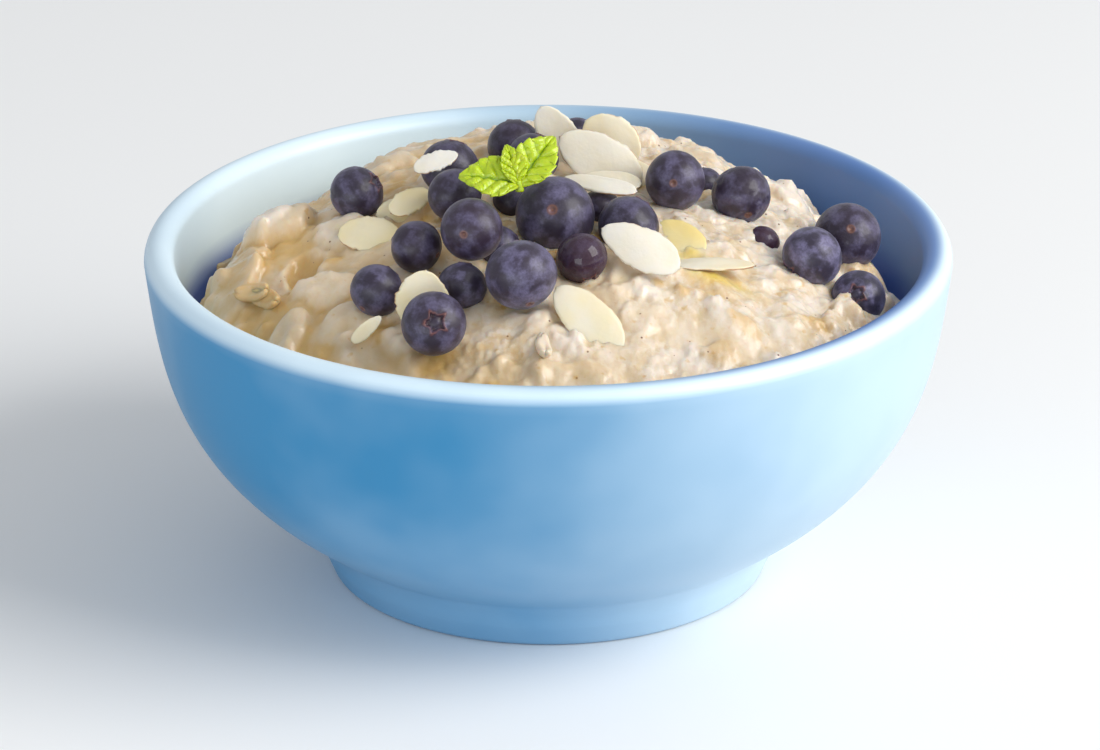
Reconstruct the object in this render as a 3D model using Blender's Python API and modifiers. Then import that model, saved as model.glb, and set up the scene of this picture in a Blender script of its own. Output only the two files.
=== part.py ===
"""A bowl of porridge with blueberries, flaked almonds and a sprig of mint on top.

Units are metres, +Z is up, and the origin is under the middle of the bowl, on the surface it stands on.
"""

import math

import bmesh
import bpy
from mathutils import Matrix, Vector

MM = 0.001
OBJECT_NAME = "bowl_of_porridge"

# The bowl: a turned stoneware body on a tapered foot ring.
RIM_RADIUS = 80 * MM
BOWL_HEIGHT = 68.7 * MM
LIP_RADIUS = 3 * MM
FOOT_RADIUS = 43.3 * MM
FOOT_HEIGHT = 10 * MM
CREASE_RADIUS = 47.6 * MM
FOOT_EDGE = 1.2 * MM
FOOT_RING_WIDTH = 6.5 * MM
FOOT_RECESS = 4 * MM
WALL_LEAN = 7 * MM
BELLY_POWER = 3.3
FLOOR_HEIGHT = 12 * MM
FLOOR_RADIUS = 34 * MM
INNER_LEAN = 5 * MM
INNER_POWER = 2.9
BOWL_TURNS = 40
BODY_STEPS = 9
INNER_SPACING = 1.6
OUTER_SPACING = 0.8
LIP_STEP = 45

# The porridge: heaped in the middle, and rounded off before it meets the wall.
CROWN_HEIGHT = 12.5 * MM
CROWN_FALL = 4.6
CROWN_SHIFT = 3 * MM
GAP = 0.3 * MM
HOLLOW_GAP = 0.45 * MM
EDGE_DROP = 11 * MM
EDGE_WIDTH = 11 * MM
HEAP_SECTORS = 40
HEAP_RINGS = 10
HEAP_UNDER_STEPS = 4
RING_SPACING = 0.85
UNDER_SPACING = 1.3
WALL_MEETING_DEPTH = 16 * MM
SMOOTH_ANGLE = 50

# Mounds and hollows on the heap in millimetres: across, back, spread, height.
MOUNDS = (
    (0, 42, 16, 2.8),
    (-32, 36, 11, 2.8),
    (27, 38, 9, 2.8),
    (45, 20, 7, 2.8),
    (-58, -4, 9, 2.4),
    (-56, 19, 6, 3.2),
    (-52, 36, 12, -7.0),
    (-67, 12, 7, -6.0),
    (-44, -38, 9, 1.4),
    (2, -58, 9, 1.6),
    (36, -46, 10, 1.5),
    (60, 25, 10, -7.0),
    (44, -18, 5, -1.2),
    (30, -22, 6, 0.8),
    (14, 24, 8, 1.0),
)

# Blueberries in millimetres: across, back, centre above the rim, diameter;
# then where the crown points: degrees round from the front, degrees up.
BERRIES = (
    (-37.8, -1.0, 10.0, 10.8, 75, 35),
    (-19.4, -0.6, 15.2, 11.6, 150, 60),
    (-18.3, -13.0, 14.2, 10.6, -150, 20),
    (-14.8, -33.0, 14.7, 12.1, 165, -10),
    (-25.5, -28.8, 9.5, 10.2, -120, 10),
    (-33.0, -38.5, 4.2, 10.4, 140, 30),
    (-21.8, -52.6, 3.0, 12.4, 4, 24),
    (-16.6, -39.9, 5.6, 9.6, 170, 50),
    (-5.2, -44.5, 9.8, 13.8, 200, 40),
    (-9.7, -26.2, 8.2, 9.0, 120, 20),
    (1.3, -20.5, 12.7, 15.5, 175, -30),
    (6.4, -34.0, 9.2, 10.0, 30, -50),
    (15.6, -21.5, 11.0, 12.0, 140, 40),
    (10.2, -11.5, 10.4, 8.4, 180, 20),
    (-6.8, 13.0, 14.8, 10.8, 180, 50),
    (-3.0, 1.2, 16.6, 10.2, 100, 60),
    (5.6, 18.0, 14.4, 8.8, 180, 30),
    (24.9, -5.0, 14.2, 11.8, 175, -15),
    (38.0, -1.5, 9.8, 11.8, -165, 25),
    (59.0, -3.0, 1.6, 13.4, 185, -35),
    (51.6, -15.0, 2.0, 12.1, -60, -25),
    (60.6, -19.0, -5.0, 10.8, -8, 30),
    (42.0, -8.2, 2.2, 7.0, 180, 10),
    (31.0, 10.0, 7.4, 7.6, 180, 40),
    (-6.2, -8.0, 11.0, 9.6, 180, 60),
)
CROWN_PIT = 0.26
CROWN_RIM_WIDTH = 0.34
CROWN_RIM_LEVEL = 0.95
BERRY_SQUASH = 0.95
BERRY_TURNS = 9
BERRY_SHOULDER = 48
BERRY_STEP = 28

# Almond flakes in millimetres and degrees: across, back, centre above the rim; length, width, curl;
# lean of the long axis to the right, pitch back from upright, turn about the vertical;
# and the part of the length that is there, from -1 at the blunt end to 1 at the point.
FLAKES = (
    (-22.0, -7.2, 19.1, 9.4, 4.4, 0.4, 64, 56, 0, -1.0, 1.0),
    (-27.2, -9.2, 11.6, 9.5, 6.0, 0.4, 50, 64, 0, -1.0, 1.0),
    (-27.2, -7.6, 9.4, 13.5, 6.5, 0.6, 80, 60, 0, -1.0, 1.0),
    (-35.2, -14.2, 6.9, 12.2, 9.0, 0.5, 84, 64, -8, -1.0, 1.0),
    (-24.2, -45.3, 4.8, 12.0, 10.0, 0.4, 8, 6, 0, -1.0, 1.0),
    (-34.8, -47.5, -0.2, 7.5, 2.6, 0.3, 48, 30, 0, -1.0, 1.0),
    (7.6, -48.6, 2.4, 18.0, 9.2, 0.6, -42, 40, 2, -1.0, 1.0),
    (17.4, -33.2, 11.3, 18.0, 8.0, 0.8, -62, 36, 0, -1.0, 0.9),
    (25.8, -20.6, 8.2, 11.5, 7.6, 0.4, -48, 58, 0, -1.0, 1.0),
    (31.0, -28.0, 5.8, 18.5, 4.2, 0.5, -87, 80, 4, -1.0, 1.0),
    (2.2, 9.8, 17.4, 15.0, 8.0, 0.3, -30, 16, 0, -0.8, 1.0),
    (10.2, 0.6, 16.2, 19.0, 10.4, 0.6, -58, 32, 0, -1.0, 1.0),
    (12.4, 7.2, 18.0, 13.0, 10.0, 0.4, -52, 22, 0, -1.0, 1.0),
    (16.8, 2.4, 13.0, 9.0, 6.0, 0.4, -74, 44, 0, -1.0, 1.0),
    (10.0, -12.0, 16.2, 15.2, 4.6, 0.4, -76, 68, 0, -1.0, 1.0),
    (12.4, -6.2, 14.8, 12.0, 4.6, 0.4, -84, 58, 0, -1.0, 1.0),
)
FLAKE_THICKNESS = 0.9 * MM
FLAKE_ROWS = 7
FLAKE_COLUMNS = 3
FLAKE_TAPER = 0.15
FLAKE_TIP = 0.28
FLAKE_POWER = 2.4
FLAKE_FULLNESS = 0.6
FLAKE_CUP = 0.5

# The mint sprig in millimetres: where the leaves join, then each leaf's length, width,
# direction round from the right and rise, in degrees.
SPRIG_JOINT = (-5.8, -22.2, 19.9)
LEAVES = (
    (11.6, 9.0, 178, 12, -30),
    (8.4, 4.8, 118, 56, -14),
    (12.2, 7.6, 40, 42, 34),
)
LEAF_THICKNESS = 0.7 * MM
LEAF_ROWS = 7
LEAF_COLUMNS = 3
LEAF_BREADTH = 0.85
LEAF_NECK = 0.12
LEAF_CURL = 1.4 * MM
SERRATION = 0.07
STEM_RADIUS = 1.0 * MM
STEM_LENGTH = 2.6 * MM
STEM_SIDES = 8

# Finishes: colour and roughness.
GLAZED_BLUE = ((0.22, 0.50, 0.68), 0.18)
PORRIDGE_CREAM = ((0.69, 0.56, 0.41), 0.45)
BERRY_BLUE = ((0.045, 0.045, 0.085), 0.4)
ALMOND_CREAM = ((0.86, 0.80, 0.62), 0.5)
MINT_GREEN = ((0.35, 0.58, 0.04), 0.45)

MERGE_DISTANCE = 0.01 * MM


def clear_scene():
    for old in list(bpy.data.objects):
        bpy.data.objects.remove(old)


def new_collection(name):
    collection = bpy.data.collections.new(name)
    bpy.context.scene.collection.children.link(collection)
    return collection


def new_material(name, finish):
    colour, roughness = finish
    material = bpy.data.materials.new(name)
    material.use_nodes = True
    shader = material.node_tree.nodes["Principled BSDF"]
    shader.inputs["Base Color"].default_value = (*colour, 1)
    shader.inputs["Roughness"].default_value = roughness
    shader.inputs["Metallic"].default_value = 0
    return material


def new_object(name, mesh, material, collection):
    obj = bpy.data.objects.new(name, mesh)
    obj.data.materials.append(material)
    collection.objects.link(obj)
    return obj


def mesh_from_bmesh(name, shape):
    mesh = bpy.data.meshes.new(name)
    shape.to_mesh(mesh)
    shape.free()
    return mesh


def round_off(mesh, degrees):
    """Shades a mesh smooth, with its corners over the given angle left sharp."""
    mesh.shade_smooth()
    mesh.set_sharp_from_angle(angle=math.radians(degrees))


def turned(name, profile, turns, material, collection):
    """A solid turned about Z from (radius, height) points that run down its outer side."""
    shape = bmesh.new()
    points = [shape.verts.new((radius, 0, height)) for radius, height in profile]
    for above, below in zip(points, points[1:]):
        shape.edges.new((above, below))
    obj = new_object(name, mesh_from_bmesh(name, shape), material, collection)
    screw = obj.modifiers.new("Turn", "SCREW")
    screw.steps = turns
    screw.render_steps = turns
    screw.use_merge_vertices = True
    screw.merge_threshold = MERGE_DISTANCE
    screw.use_smooth_shade = True
    return obj


def outer_radius(height):
    """Radius of the bowl's outside between the foot's crease and the lip."""
    top = BOWL_HEIGHT - LIP_RADIUS
    down = (top - height) / (top - FOOT_HEIGHT)
    belly = RIM_RADIUS - CREASE_RADIUS - WALL_LEAN
    return RIM_RADIUS - WALL_LEAN * down - belly * down**BELLY_POWER


def inner_radius(height):
    """Radius of the bowl's inside between its floor and the lip."""
    top = BOWL_HEIGHT - LIP_RADIUS
    lip = RIM_RADIUS - 2 * LIP_RADIUS
    down = min(max((top - height) / (top - FLOOR_HEIGHT), 0), 1)
    belly = lip - FLOOR_RADIUS - INNER_LEAN
    return lip - INNER_LEAN * down - belly * down**INNER_POWER


def inner_height(share):
    """Height on the inner wall, from the floor at share 0 to the lip at share 1."""
    return FLOOR_HEIGHT + (BOWL_HEIGHT - LIP_RADIUS - FLOOR_HEIGHT) * share**INNER_SPACING


def bowl_profile():
    points = [(0, FLOOR_HEIGHT)]
    for step in range(BODY_STEPS):
        height = inner_height(step / BODY_STEPS)
        points.append((inner_radius(height), height))
    middle = RIM_RADIUS - LIP_RADIUS
    for degrees in range(180, -1, -LIP_STEP):
        angle = math.radians(degrees)
        across = middle + LIP_RADIUS * math.cos(angle)
        points.append((across, BOWL_HEIGHT - LIP_RADIUS + LIP_RADIUS * math.sin(angle)))
    top = BOWL_HEIGHT - LIP_RADIUS
    for step in range(1, BODY_STEPS + 1):
        height = top + (FOOT_HEIGHT - top) * (step / BODY_STEPS) ** OUTER_SPACING
        points.append((outer_radius(height), height))
    inside = FOOT_RADIUS - FOOT_RING_WIDTH
    points += [
        (FOOT_RADIUS + FOOT_EDGE / 2, FOOT_EDGE),
        (FOOT_RADIUS - FOOT_EDGE / 2, 0),
        (inside, 0),
        (inside - FOOT_EDGE, FOOT_EDGE),
        (inside - 2 * FOOT_EDGE, FOOT_RECESS),
        (0, FOOT_RECESS),
    ]
    return points


def heap_level(across, back):
    """Height of the porridge's top over the middle of the bowl, before it falls to the wall."""
    level = BOWL_HEIGHT + CROWN_HEIGHT
    level -= CROWN_FALL * (across**2 + (back - CROWN_SHIFT) ** 2)
    for mound_across, mound_back, spread, height in MOUNDS:
        away = (across / MM - mound_across) ** 2 + (back / MM - mound_back) ** 2
        level += height * MM * math.exp(-away / spread**2)
    return level


def heap_top(across, back):
    """Height of the porridge's top anywhere, with its rounded edge."""
    inward = RIM_RADIUS - 2 * LIP_RADIUS - math.hypot(across, back)
    share = min(max(1 - inward / EDGE_WIDTH, 0), 1)
    return heap_level(across, back) - EDGE_DROP * (1 - math.sqrt(1 - share**2))


def porridge_rings():
    """Rings of points from the middle of the top, out to the wall and down to the floor."""
    rings = []
    wall_heights = []
    for sector in range(HEAP_SECTORS):
        angle = 2 * math.pi * sector / HEAP_SECTORS
        reach = inner_radius(BOWL_HEIGHT - WALL_MEETING_DEPTH) - GAP
        wall_heights.append(heap_top(reach * math.cos(angle), reach * math.sin(angle)))
    for ring in range(1, HEAP_RINGS + 1):
        share = (ring / HEAP_RINGS) ** RING_SPACING
        points = []
        for sector in range(HEAP_SECTORS):
            angle = 2 * math.pi * sector / HEAP_SECTORS
            reach = share * (inner_radius(wall_heights[sector]) - 2 * GAP)
            across, back = reach * math.cos(angle), reach * math.sin(angle)
            height = wall_heights[sector] if ring == HEAP_RINGS else heap_top(across, back)
            points.append((across, back, height))
        rings.append(points)
    for step in range(1, HEAP_UNDER_STEPS + 1):
        points = []
        for sector in range(HEAP_SECTORS):
            angle = 2 * math.pi * sector / HEAP_SECTORS
            floor = FLOOR_HEIGHT + 2 * GAP
            left = 1 - step / HEAP_UNDER_STEPS
            height = floor + (wall_heights[sector] - floor) * left**UNDER_SPACING
            reach = inner_radius(height) - 2 * GAP
            points.append((reach * math.cos(angle), reach * math.sin(angle), height))
        rings.append(points)
    return rings


def add_porridge(material, collection):
    shape = bmesh.new()
    crown = shape.verts.new((0, 0, heap_top(0, 0)))
    base = shape.verts.new((0, 0, FLOOR_HEIGHT + 2 * GAP))
    rings = [[shape.verts.new(point) for point in ring] for ring in porridge_rings()]
    for sector in range(HEAP_SECTORS):
        after = (sector + 1) % HEAP_SECTORS
        shape.faces.new((crown, rings[0][sector], rings[0][after]))
        for inner, outer in zip(rings, rings[1:]):
            shape.faces.new((inner[sector], outer[sector], outer[after], inner[after]))
        shape.faces.new((base, rings[-1][after], rings[-1][sector]))
    bmesh.ops.recalc_face_normals(shape, faces=shape.faces)
    mesh = mesh_from_bmesh("porridge", shape)
    round_off(mesh, SMOOTH_ANGLE)
    return new_object("porridge", mesh, material, collection)


def berry_profile(radius):
    """A round berry's outline from the pit in its crown, over the crown's rim and down."""
    points = [(0, radius * (1 - CROWN_PIT)), (radius * CROWN_RIM_WIDTH, radius * CROWN_RIM_LEVEL)]
    for degrees in range(BERRY_SHOULDER, 180, BERRY_STEP):
        angle = math.radians(degrees)
        points.append((radius * math.sin(angle), BERRY_SQUASH * radius * math.cos(angle)))
    points.append((0, -BERRY_SQUASH * radius))
    return points


def crown_direction(turn, rise):
    """Unit vector for degrees round from the front, towards the right, and degrees up."""
    turn, rise = math.radians(turn), math.radians(rise)
    flat = math.cos(rise)
    return Vector((flat * math.sin(turn), -flat * math.cos(turn), math.sin(rise)))


def on_heap(across, back, above_rim):
    return Vector((across * MM, back * MM, BOWL_HEIGHT + above_rim * MM))


def add_berry(name, row, swell, material, collection):
    """One blueberry, or with a swell the hollow that it presses in the porridge."""
    across, back, above_rim, diameter, turn, rise = row
    radius = diameter * MM / 2 + swell
    berry = turned(name, berry_profile(radius), BERRY_TURNS, material, collection)
    berry.location = on_heap(across, back, above_rim)
    berry.rotation_euler = crown_direction(turn, rise).to_track_quat("Z", "Y").to_euler()
    return berry


def flake_half_width(share):
    """Half width of an almond slice as a share of its widest, from blunt -1 to pointed 1."""
    rounded = max((1 - abs(share) ** FLAKE_POWER) ** FLAKE_FULLNESS, FLAKE_TIP)
    return rounded * (1 - FLAKE_TAPER * share)


def add_sheet(name, rows, columns, point_at, thickness, material, collection):
    """A thin curved sheet: an open grid of points, thickened equally to both sides."""
    shape = bmesh.new()
    grid = []
    for row in range(rows):
        along = 2 * row / (rows - 1) - 1
        grid.append(
            [shape.verts.new(point_at(along, 2 * c / (columns - 1) - 1)) for c in range(columns)]
        )
    for lower, upper in zip(grid, grid[1:]):
        for left in range(columns - 1):
            shape.faces.new((lower[left], lower[left + 1], upper[left + 1], upper[left]))
    mesh = mesh_from_bmesh(name, shape)
    mesh.shade_smooth()
    obj = new_object(name, mesh, material, collection)
    solid = obj.modifiers.new("Thickness", "SOLIDIFY")
    solid.thickness = thickness
    solid.offset = 0
    return obj


def add_flake(name, row, swell, material, collection):
    """One almond slice, curled along its length, or the slot that it makes in the porridge."""
    across, back, above_rim, length, width, curl, lean, pitch, turn, low, high = row
    half = length * MM / 2 + swell
    wide = width * MM / 2 + swell
    thickness = FLAKE_THICKNESS + 2 * swell

    def point_at(along, sideways):
        share = low + (high - low) * (along + 1) / 2
        out = wide * flake_half_width(share) * sideways
        bend = curl * MM * (share**2 + FLAKE_CUP * sideways**2)
        return (out, bend, share * half)

    flake = add_sheet(name, FLAKE_ROWS, FLAKE_COLUMNS, point_at, thickness, material, collection)
    tilt = Matrix.Rotation(math.radians(turn), 4, "Z") @ Matrix.Rotation(math.radians(-pitch), 4, "X")
    spin = Matrix.Rotation(math.radians(lean), 4, "Y")
    flake.matrix_world = Matrix.Translation(on_heap(across, back, above_rim)) @ tilt @ spin
    return flake


def add_leaf(name, length, width, material, collection):
    """A serrated mint leaf along +X that curls down at its tip."""

    def point_at(along, sideways):
        share = (along + 1) / 2
        tooth = 1 + SERRATION * (1 if round(share * (LEAF_ROWS - 1)) % 2 else -1)
        wide = width * MM / 2 * (math.sin(math.pi * share**LEAF_BREADTH) + LEAF_NECK) * tooth
        return (share * length * MM, wide * sideways, -LEAF_CURL * share**2)

    return add_sheet(name, LEAF_ROWS, LEAF_COLUMNS, point_at, LEAF_THICKNESS, material, collection)


def add_mint(material, collection, cutters):
    joint = on_heap(*SPRIG_JOINT)
    shape = bmesh.new()
    bmesh.ops.create_cone(
        shape,
        cap_ends=True,
        segments=STEM_SIDES,
        radius1=STEM_RADIUS,
        radius2=STEM_RADIUS,
        depth=STEM_LENGTH,
    )
    sprig = new_object("mint_sprig", mesh_from_bmesh("mint_sprig", shape), material, collection)
    sprig.location = joint
    for number, (length, width, turn, rise, roll) in enumerate(LEAVES, start=1):
        name = f"mint_leaf_{number}"
        leaf = add_leaf(name, length, width, material, cutters)
        aim = Matrix.Rotation(math.radians(turn), 4, "Z") @ Matrix.Rotation(math.radians(-rise), 4, "Y")
        leaf.matrix_world = Matrix.Translation(joint) @ aim @ Matrix.Rotation(math.radians(roll), 4, "X")
        as_helper(leaf)
        join = sprig.modifiers.new(name, "BOOLEAN")
        join.operation = "UNION"
        join.solver = "MANIFOLD"
        join.object = leaf
    return sprig


def as_helper(obj):
    obj.hide_render = True
    obj.display_type = "WIRE"


def cut_away(obj, cutter):
    as_helper(cutter)
    cut = obj.modifiers.new(cutter.name, "BOOLEAN")
    cut.operation = "DIFFERENCE"
    cut.object = cutter


def add_topping(make, name, row, material, collection, porridge, cutters):
    """A topping, and the hollow that leaves it just clear of the porridge."""
    make(name, row, 0, material, collection)
    cut_away(porridge, make(name + "_hollow", row, HOLLOW_GAP, material, cutters))


def main():
    clear_scene()
    parts = new_collection(OBJECT_NAME)
    cutters = new_collection("cutters")
    glaze = new_material("glazed_stoneware", GLAZED_BLUE)
    porridge_finish = new_material("porridge", PORRIDGE_CREAM)
    berry_finish = new_material("blueberry_skin", BERRY_BLUE)
    almond_finish = new_material("flaked_almond", ALMOND_CREAM)
    mint_finish = new_material("mint_leaf", MINT_GREEN)
    turned("bowl", bowl_profile(), BOWL_TURNS, glaze, parts)
    porridge = add_porridge(porridge_finish, parts)
    for number, row in enumerate(BERRIES, start=1):
        name = f"blueberry_{number:02d}"
        add_topping(add_berry, name, row, berry_finish, parts, porridge, cutters)
    for number, row in enumerate(FLAKES, start=1):
        name = f"almond_flake_{number:02d}"
        add_topping(add_flake, name, row, almond_finish, parts, porridge, cutters)
    add_mint(mint_finish, parts, cutters)


if __name__ == "__main__":
    main()
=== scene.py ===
"""Dresses a bowl of porridge: glazed bowl, oats, blueberries, flaked almonds and a sprig of mint.

Units are metres, +Z is up, and -Y is the front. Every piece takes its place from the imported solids.
"""

import functools
import math

import bpy
import numpy as np
from bpy.props import FloatProperty, FloatVectorProperty, IntProperty, PointerProperty
from mathutils import Matrix, Vector, noise
from mathutils.bvhtree import BVHTree


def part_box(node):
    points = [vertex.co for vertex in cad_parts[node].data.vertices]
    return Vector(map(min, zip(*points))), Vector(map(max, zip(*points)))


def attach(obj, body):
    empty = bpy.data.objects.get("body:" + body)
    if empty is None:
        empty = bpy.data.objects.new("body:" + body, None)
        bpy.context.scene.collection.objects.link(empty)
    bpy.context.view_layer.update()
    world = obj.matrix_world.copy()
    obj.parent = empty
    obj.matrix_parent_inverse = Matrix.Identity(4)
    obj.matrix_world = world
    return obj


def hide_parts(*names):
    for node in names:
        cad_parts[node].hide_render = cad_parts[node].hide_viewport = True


bl_info = {
    "name": "Bowl of porridge",
    "version": (1, 0, 0),
    "blender": (4, 5, 0),
    "location": "3D View > Sidebar > Porridge",
    "description": "Dresses a bowl of porridge with blueberries, flaked almonds and mint",
    "category": "Add Mesh",
}

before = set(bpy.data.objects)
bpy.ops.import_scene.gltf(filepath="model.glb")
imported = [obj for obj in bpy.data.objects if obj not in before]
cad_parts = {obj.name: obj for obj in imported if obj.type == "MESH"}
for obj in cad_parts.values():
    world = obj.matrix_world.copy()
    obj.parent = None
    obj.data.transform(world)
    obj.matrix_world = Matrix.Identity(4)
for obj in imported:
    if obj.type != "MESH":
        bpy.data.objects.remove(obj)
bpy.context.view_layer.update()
BOWL_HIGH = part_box("bowl")[1]
MM = 0.001
RIM_HEIGHT = BOWL_HIGH.z
RIM_RADIUS = BOWL_HIGH.x
BERRY_NODES = sorted(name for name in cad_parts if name.startswith("blueberry"))
ALMOND_NODES = sorted(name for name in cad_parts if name.startswith("almond"))

# Blueberries, in the order of their nodes: bloom, redness, pits and wetness of the skin.
BERRIES = (
    (0.42, 0.2, 0.5, 0.1),
    (0.25, 0.2, 0.1, 0.3),
    (0.30, 0.3, 0.1, 0.1),
    (0.38, 0.4, 0.1, 0.2),
    (0.28, 0.3, 0.1, 0.2),
    (0.36, 0.2, 0.2, 0.1),
    (0.42, 0.3, 0.1, 0.1),
    (0.50, 0.2, 0.1, 0.0),
    (0.62, 0.3, 0.1, 0.1),
    (0.40, 0.2, 0.1, 0.1),
    (0.52, 0.2, 0.1, 0.2),
    (0.02, 0.9, 0.3, 1.0),
    (0.40, 0.2, 0.1, 0.3),
    (0.20, 0.3, 0.1, 0.3),
    (0.20, 0.3, 0.1, 0.3),
    (0.30, 0.2, 0.1, 0.2),
    (0.30, 0.2, 0.1, 0.3),
    (0.42, 0.3, 0.2, 0.1),
    (0.34, 0.3, 0.8, 0.5),
    (0.42, 0.3, 0.1, 0.4),
    (0.85, 0.2, 0.4, 0.1),
    (0.75, 0.1, 0.5, 0.2),
    (0.04, 0.9, 0.5, 0.8),
    (0.30, 0.2, 0.1, 0.3),
    (0.20, 0.2, 0.1, 0.3),
)

# Almond flakes, in the order of their nodes: yellowness, how nibbled the edge is and
# how much brown skin is left on it.
ALMONDS = (
    (0.05, 1.0, 0.1),
    (0.60, 0.6, 0.1),
    (0.60, 0.5, 0.1),
    (0.62, 0.5, 0.1),
    (0.45, 0.6, 0.5),
    (0.30, 0.4, 0.2),
    (0.35, 0.2, 0.3),
    (0.10, 0.45, 0.5),
    (0.95, 0.3, 0.2),
    (0.30, 0.4, 0.3),
    (0.15, 0.3, 0.2),
    (0.15, 0.4, 0.3),
    (0.40, 0.4, 0.3),
    (0.35, 0.3, 0.2),
    (0.10, 0.3, 0.3),
    (0.20, 0.3, 0.2),
)

# Mint leaves: length, width in metres; turn from the right, rise, roll in degrees.
LEAVES = (
    (11.6 * MM, 9.4 * MM, 178, 12, -30),
    (8.4 * MM, 4.8 * MM, 118, 56, -14),
    (12.2 * MM, 8.2 * MM, 40, 42, 34),
)
# Where the leaves join, as shares of the sprig's box.
SPRIG_JOINT = (0.60, 0.37, 0.205)

# Soft lobes and hollows of the paste in millimetres: across, back, half length,
# half width, turn in degrees, height, steepness of the edge, tone.
LOBES = (
    (-62, -14, 10.5, 7.0, 75, 3.0, 4, 0.72),
    (-54, 1, 8.0, 5.5, 8, 4.2, 6, 0.50),
    (-55, -1, 4.0, 2.4, 15, 1.8, 3, 0.15),
    (-48, -18, 6.5, 3.6, 100, -3.4, 2, 0.80),
    (-44, -28, 7.5, 5, 150, 2.0, 3, 0.40),
    (-37, -39, 8, 5, 20, 1.6, 3, 0.45),
    (-51, -38, 6.5, 4.5, 60, 1.8, 3, 0.55),
    (-41, -8, 6.5, 4.5, 120, 2.0, 3, 0.30),
    (-27, -47, 6, 4, 170, 1.2, 3, 0.35),
    (-36, 22, 10, 6, 10, 1.8, 4, 0.45),
    (17, 33, 5, 4, 0, 2.6, 4, 0.30),
    (30, 27, 6, 3.5, -30, 1.6, 4, 0.40),
    (45, 18, 7.5, 5, -20, 2.2, 4, 0.15),
    (51, 5, 5, 3.5, 70, 2.0, 3, 0.20),
    (33, -49, 4.5, 2.6, 20, 0.9, 2, 0.70),
    (38, -42, 3.5, 2.4, -30, 0.9, 2, 0.72),
    (53, -33, 3.2, 2.2, 10, 0.9, 2, 0.85),
    (7, -59, 6, 2.6, 0, 0.9, 2, 0.62),
    (-10, -58, 5, 2.4, 10, 0.9, 2, 0.62),
    (19, -43, 6, 4, 40, 1.2, 3, 0.30),
    (4, -52, 5, 3, 120, 1.2, 3, 0.20),
    (47, -24, 6, 4, 30, 0.9, 2, 0.40),
    (62, -6, 6, 5, 80, 2.4, 3, 0.75),
    (63, -24.5, 11, 6.5, 42, 3.8, 3, 0.50),
    (70, 13, 17, 8, 80, -7.5, 2.5, 0.65),
    (-71, 11, 16, 10, 99, -9.0, 2.5, 0.60),
)
# Oats that stand out: across, back, half length, half width, turn, tip, lean, tone.
STANDING_OATS = (
    (-57.5, -21.5, 3.6, 2.0, -20, 12, 42, 0.7),
    (-54.5, -24, 3.8, 2.0, -50, 4, 48, 0.75),
    (-1, -55, 3.4, 1.4, 95, 12, 8, 0.2),
)

# Yellow wet patches by the flakes in millimetres: across, back, half length, half width.
WET_PATCHES = (
    (27.5, -24.5, 3.2, 2.2),
    (33.0, -30.0, 5.5, 1.8),
    (22.0, -27.0, 3.0, 1.6),
)

# The porridge's surface is worked out on a square map round the middle of the bowl.
MAP_HALF = 75 * MM
MAP_STEPS = 376
MAP_CELL = 2 * MAP_HALF / (MAP_STEPS - 1)

# The solid's level is first read on a coarser map. It is read only this near the middle,
# this far under the rim at most and this far from any topping; the rest is filled in.
COARSE_STEPS = 126
HEAP_REACH = 72.6 * MM
HEAP_DROP = 24 * MM
TOPPING_CLEARANCE = 1.3 * MM
FILL_ROUNDS = 500

# The porridge meets the wall this far under the rim, and goes down inside it by these
# heights over the table, with a small gap to the wall.
HEAP_EDGE_DROP = 16 * MM
SKIRT_HEIGHTS = (40 * MM, 26 * MM, 17 * MM, 12.6 * MM)
SKIRT_GAP = 0.3 * MM

# The bowl's outline: how far the walls lean in over their height, how sharply they
# then turn to the foot or the floor, and the floor inside.
OUTER_LEAN = 7 * MM
OUTER_TURN = 3.3
INNER_LEAN = 5 * MM
INNER_TURN = 2.9
FLOOR_RADIUS = 39 * MM
FLOOR_MIDDLE = 34 * MM
FLOOR_HEIGHT = 12 * MM
FLOOR_STEPS, INNER_STEPS, LIP_STEPS, OUTER_STEPS = 6, 40, 16, 48

# The foot ring: how far it hollows under the crease, how far it flares above its edge,
# the rounding of that edge, how wide the ring is, and the height of the recess inside it.
FOOT_HOLLOW = 0.5 * MM
FOOT_FLARE = 0.6 * MM
FOOT_EDGE = 1.4 * MM
FOOT_WIDTH = 6.5 * MM
RECESS_HEIGHT = 4.2 * MM
FOOT_STEPS, EDGE_STEPS = 10, 5

# How finely the meshes are built: turns, or rows and columns.
BOWL_TURNS = 192
HEAP_STEPS = 284
BERRY_TURNS = 80
ALMOND_GRID = (41, 21)
OAT_GRID = (13, 9)
LEAF_GRID = (66, 31)
STEM_GRID = (8, 14)

# A blueberry, as shares of its radius: half its height, the way from its solid's pit to
# the opposite pole, the crown's star, the reach of the star's points and the stem scar.
BERRY_SQUASH = 0.95
PIT_TO_POLE = 1.69
CROWN_STAR = 0.24
CROWN_POINTS = 0.13
SCAR_RADIUS = 0.085

# An almond flake's ends lie past this share of its half length; the narrow one leads.
TIP_SHARE = 0.55
LEAF_TEETH = 7


# ---------------------------------------------------------------- settings


def length(name, description, default, low=0.0):
    return FloatProperty(name=name, description=description, default=default, min=low, unit="LENGTH")


def share(name, description, default):
    return FloatProperty(
        name=name, description=description, default=default, min=0, max=1, subtype="FACTOR"
    )


def colour(name, description, default):
    return FloatVectorProperty(
        name=name, description=description, default=default, min=0, max=1, size=3, subtype="COLOR"
    )


def bearing(name, description, degrees):
    return FloatProperty(
        name=name, description=description, default=math.radians(degrees), unit="ROTATION"
    )


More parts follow.
